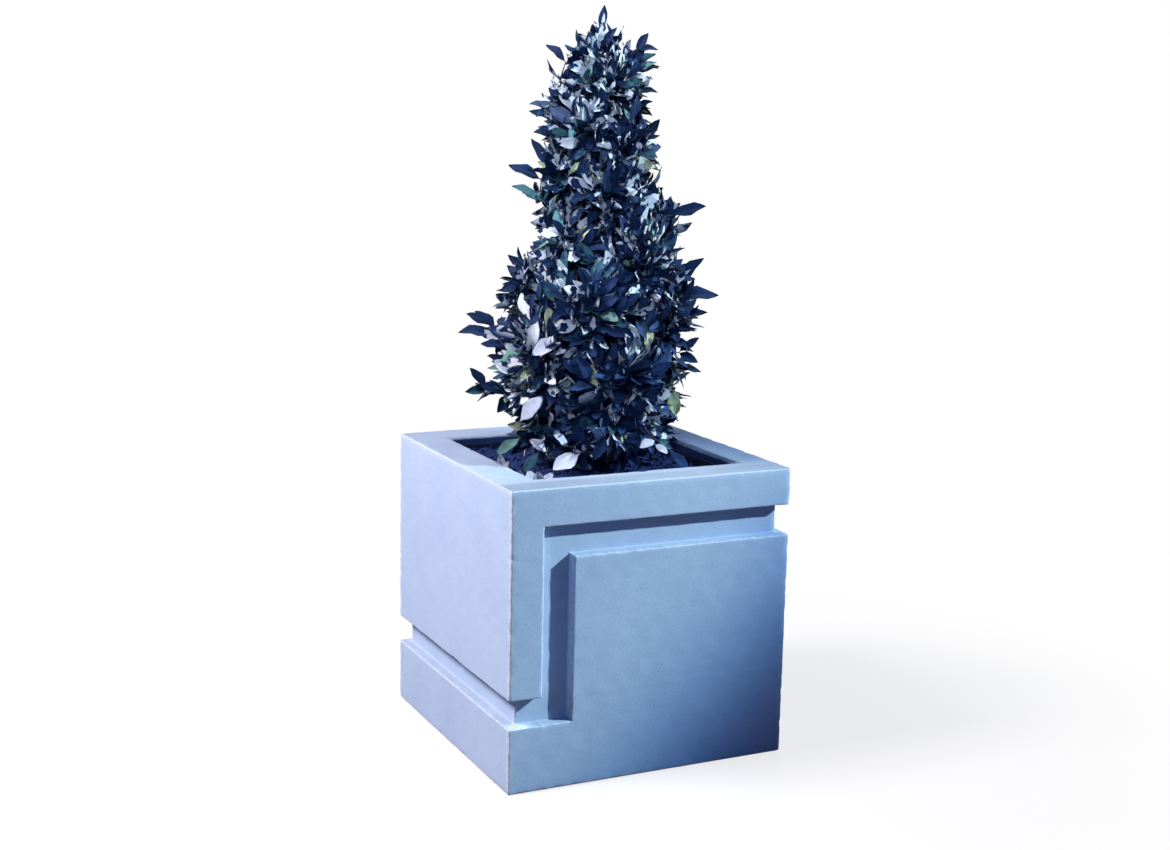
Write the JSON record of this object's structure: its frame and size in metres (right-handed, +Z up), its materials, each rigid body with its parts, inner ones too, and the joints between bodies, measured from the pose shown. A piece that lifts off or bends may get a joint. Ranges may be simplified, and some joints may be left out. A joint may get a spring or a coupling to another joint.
{
  "type": "planter",
  "caption": "Square cast concrete floor planter with a recessed interlocking reveal, planted with a narrow evergreen shrub in a lift-out liner.",
  "frame": {"origin": "centre of the planter's footprint, on the ground under its pads", "axes": "+Z up, -Y towards the front face that carries the stepped reveal, -X towards the face with the low straight reveal"},
  "size_m": [0.6, 0.6, 1.465],
  "materials": {
    "concrete": "matte",
    "drain_plastic": "matte",
    "pad_rubber": "matte",
    "liner_plastic": "matte",
    "gravel": "matte",
    "fleece": "matte",
    "soil": "matte",
    "roots": "matte",
    "bark": "matte",
    "leaf": "satin"
  },
  "bodies": {
    "tub": {"planter_shell": "concrete", "drain_sleeve": "drain_plastic", "drain_grate": "drain_plastic", "foot_pad_1": "pad_rubber", "foot_pad_2": "pad_rubber", "foot_pad_3": "pad_rubber", "foot_pad_4": "pad_rubber"},
    "planting": {"planting_liner": "liner_plastic", "gravel_bed": "gravel", "filter_mat": "fleece", "potting_soil": "soil", "root_ball": "roots", "trunk": "bark", "lower_branches": "bark", "middle_branches": "bark", "upper_branches": "bark", "foliage_skirt": "leaf", "foliage_lower": "leaf", "foliage_middle": "leaf", "foliage_upper": "leaf", "foliage_crown": "leaf"}
  },
  "joints": [
    {"name": "planting_lift", "type": "slide", "parent": "tub", "child": "planting", "axis": [0, 0, 1], "range_m": [0, 0.52]}
  ]
}
